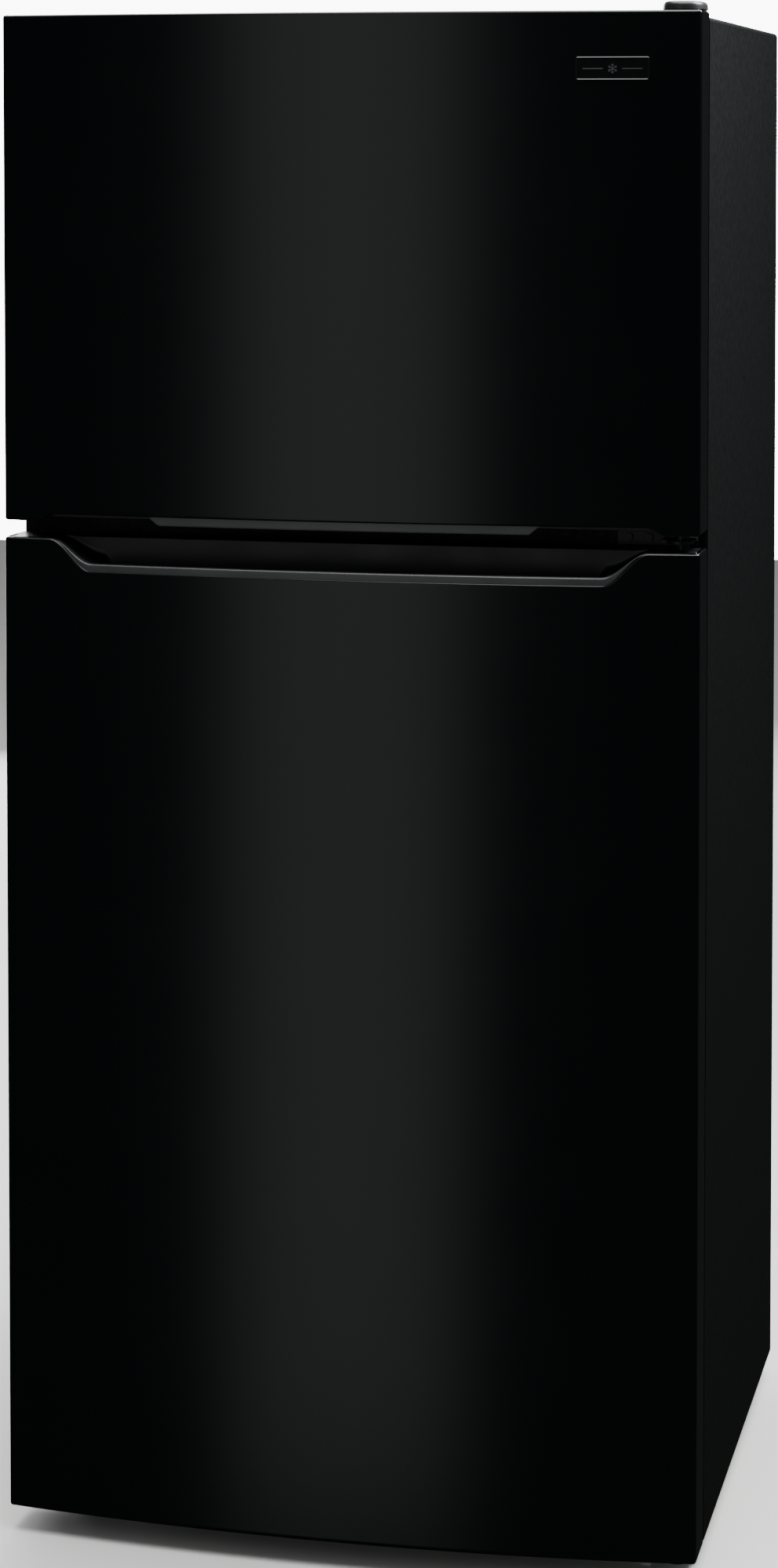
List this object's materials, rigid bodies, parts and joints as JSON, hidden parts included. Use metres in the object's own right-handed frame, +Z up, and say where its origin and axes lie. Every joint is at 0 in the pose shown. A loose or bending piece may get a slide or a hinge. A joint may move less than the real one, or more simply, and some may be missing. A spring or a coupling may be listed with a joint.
{
  "type": "top freezer refrigerator",
  "caption": "Top freezer refrigerator with bowed doors hinged on the right, recessed handles, shelves, door bins, crisper drawers and its cooling machinery.",
  "frame": {"origin": "on the floor under the middle of the overall box", "axes": "+Z up, the doors face -Y, their hinges are on the +X side"},
  "size_m": [0.762, 0.72, 1.68],
  "materials": {
    "black_enamel": "textured black enamel",
    "galvanised_steel": "galvanised sheet",
    "rigid_foam": "matte rigid closed-cell foam",
    "white_liner": "satin white",
    "frame_plastic": "satin white",
    "black_steel": "satin black",
    "black_plastic": "satin black",
    "compressor_enamel": "gloss black",
    "coil_steel": "satin black",
    "zinc_steel": "zinc plated",
    "clear_plastic": "clear",
    "aluminium_fin": "mill finish",
    "white_wire": "gloss white",
    "shelf_glass": "polished",
    "fan_plastic": "satin",
    "grey_knob": "satin grey",
    "gloss_black_door": "gloss black",
    "gasket_rubber": "matte",
    "badge_gloss": "gloss black"
  },
  "bodies": {
    "cabinet": {"outer_case": "black_enamel", "back_panel": "galvanised_steel", "cabinet_foam": "rigid_foam", "freezer_liner": "white_liner", "food_liner": "white_liner", "centre_rail": "black_enamel", "base_frame": "black_steel", "toe_grille": "black_plastic", "compressor": "compressor_enamel", "condenser_coil": "coil_steel", "condenser_fan_motor": "zinc_steel", "drain_pan": "black_plastic", "rear_cover": "zinc_steel", "control_housing": "white_liner", "light_lens": "clear_plastic", "evaporator": "aluminium_fin", "evaporator_cover": "white_liner", "evaporator_fan_motor": "zinc_steel", "freezer_shelf": "white_wire", "shelf_frames": "frame_plastic", "shelf_glass": "shelf_glass", "crisper_cover": "frame_plastic", "crisper_glass": "shelf_glass", "top_hinge": "black_steel", "top_hinge_cover": "black_plastic", "centre_hinge": "black_steel", "bottom_hinge": "black_steel", "hinge_screws": "zinc_steel", "roller_axles": "zinc_steel"},
    "freezer_door_body": {"freezer_door_panel": "gloss_black_door", "freezer_door_top_cap": "black_plastic", "freezer_door_grip_cap": "black_plastic", "freezer_door_foam": "rigid_foam", "freezer_door_liner": "white_liner", "freezer_door_gasket": "gasket_rubber", "freezer_door_racks": "clear_plastic", "badge": "badge_gloss"},
    "food_door_body": {"food_door_panel": "gloss_black_door", "food_door_scoop_cap": "black_plastic", "food_door_bottom_cap": "black_plastic", "food_door_foam": "rigid_foam", "food_door_liner": "white_liner", "food_door_gasket": "gasket_rubber", "door_bins": "clear_plastic", "dairy_box": "clear_plastic"},
    "dairy_lid_body": {"dairy_lid": "clear_plastic"},
    "condenser_fan_body": {"condenser_fan": "black_plastic"},
    "evaporator_fan_body": {"evaporator_fan": "fan_plastic"},
    "temperature_knob_body": {"temperature_knob": "grey_knob"},
    "freezer_knob_body": {"freezer_knob": "grey_knob"},
    "door_switch_body": {"door_switch": "frame_plastic"},
    "leveling_leg_left_body": {"leveling_leg_left": "black_plastic"},
    "leveling_leg_right_body": {"leveling_leg_right": "black_plastic"},
    "rear_roller_left_body": {"rear_roller_left": "black_plastic"},
    "rear_roller_right_body": {"rear_roller_right": "black_plastic"},
    "crisper_left_body": {"crisper_left": "clear_plastic"},
    "crisper_right_body": {"crisper_right": "clear_plastic"},
    "humidity_slide_left_body": {"humidity_slide_left": "grey_knob"},
    "humidity_slide_right_body": {"humidity_slide_right": "grey_knob"}
  },
  "joints": [
    {"name": "freezer_door_hinge", "type": "hinge", "parent": "cabinet", "child": "freezer_door_body", "pos_m": [0.358, -0.304, 1.121], "axis": [0, 0, 1], "range_deg": [0, 130]},
    {"name": "food_door_hinge", "type": "hinge", "parent": "cabinet", "child": "food_door_body", "pos_m": [0.358, -0.304, 0.028], "axis": [0, 0, 1], "range_deg": [0, 130]},
    {"name": "dairy_lid_hinge", "type": "hinge", "parent": "food_door_body", "child": "dairy_lid_body", "pos_m": [-0.13, -0.178, 0.994], "axis": [1, 0, 0], "range_deg": [0, 85]},
    {"name": "crisper_left_slide", "type": "slide", "parent": "cabinet", "child": "crisper_left_body", "axis": [0, -1, 0], "range_m": [0, 0.24]},
    {"name": "crisper_right_slide", "type": "slide", "parent": "cabinet", "child": "crisper_right_body", "axis": [0, -1, 0], "range_m": [0, 0.24]},
    {"name": "humidity_left_slide", "type": "slide", "parent": "cabinet", "child": "humidity_slide_left_body", "axis": [1, 0, 0], "range_m": [0, 0.031]},
    {"name": "humidity_right_slide", "type": "slide", "parent": "cabinet", "child": "humidity_slide_right_body", "axis": [1, 0, 0], "range_m": [0, 0.031]},
    {"name": "door_switch_slide", "type": "slide", "parent": "cabinet", "child": "door_switch_body", "axis": [0, -1, 0], "range_m": [0, 0.006]},
    {"name": "temperature_knob_turn", "type": "hinge", "parent": "cabinet", "child": "temperature_knob_body", "pos_m": [-0.092, -0.14, 1.0585], "axis": [0, -1, 0], "range_deg": [-135, 135]},
    {"name": "freezer_knob_turn", "type": "hinge", "parent": "cabinet", "child": "freezer_knob_body", "pos_m": [0.092, -0.14, 1.0585], "axis": [0, -1, 0], "range_deg": [-135, 135]},
    {"name": "condenser_fan_spin", "type": "hinge", "parent": "cabinet", "child": "condenser_fan_body", "pos_m": [-0.03, 0.268, 0.138], "axis": [1, 0, 0], "continuous": true},
    {"name": "evaporator_fan_spin", "type": "hinge", "parent": "cabinet", "child": "evaporator_fan_body", "pos_m": [0, 0.26, 1.45], "axis": [0, 1, 0], "continuous": true},
    {"name": "leveling_leg_left_turn", "type": "hinge", "parent": "cabinet", "child": "leveling_leg_left_body", "pos_m": [-0.318, -0.224, 0], "axis": [0, 0, 1], "continuous": true},
    {"name": "leveling_leg_right_turn", "type": "hinge", "parent": "cabinet", "child": "leveling_leg_right_body", "pos_m": [0.318, -0.224, 0], "axis": [0, 0, 1], "continuous": true},
    {"name": "rear_roller_left_spin", "type": "hinge", "parent": "cabinet", "child": "rear_roller_left_body", "pos_m": [-0.3, 0.3, 0.019], "axis": [1, 0, 0], "continuous": true},
    {"name": "rear_roller_right_spin", "type": "hinge", "parent": "cabinet", "child": "rear_roller_right_body", "pos_m": [0.3, 0.3, 0.019], "axis": [1, 0, 0], "continuous": true}
  ],
  "couplings": [
    {"joint": "crisper_left_slide", "follows": "food_door_hinge", "m_per_rad": 0.10577},
    {"joint": "crisper_right_slide", "follows": "food_door_hinge", "m_per_rad": 0.10577},
    {"joint": "door_switch_slide", "follows": "food_door_hinge", "m_per_rad": 0.0026442}
  ]
}
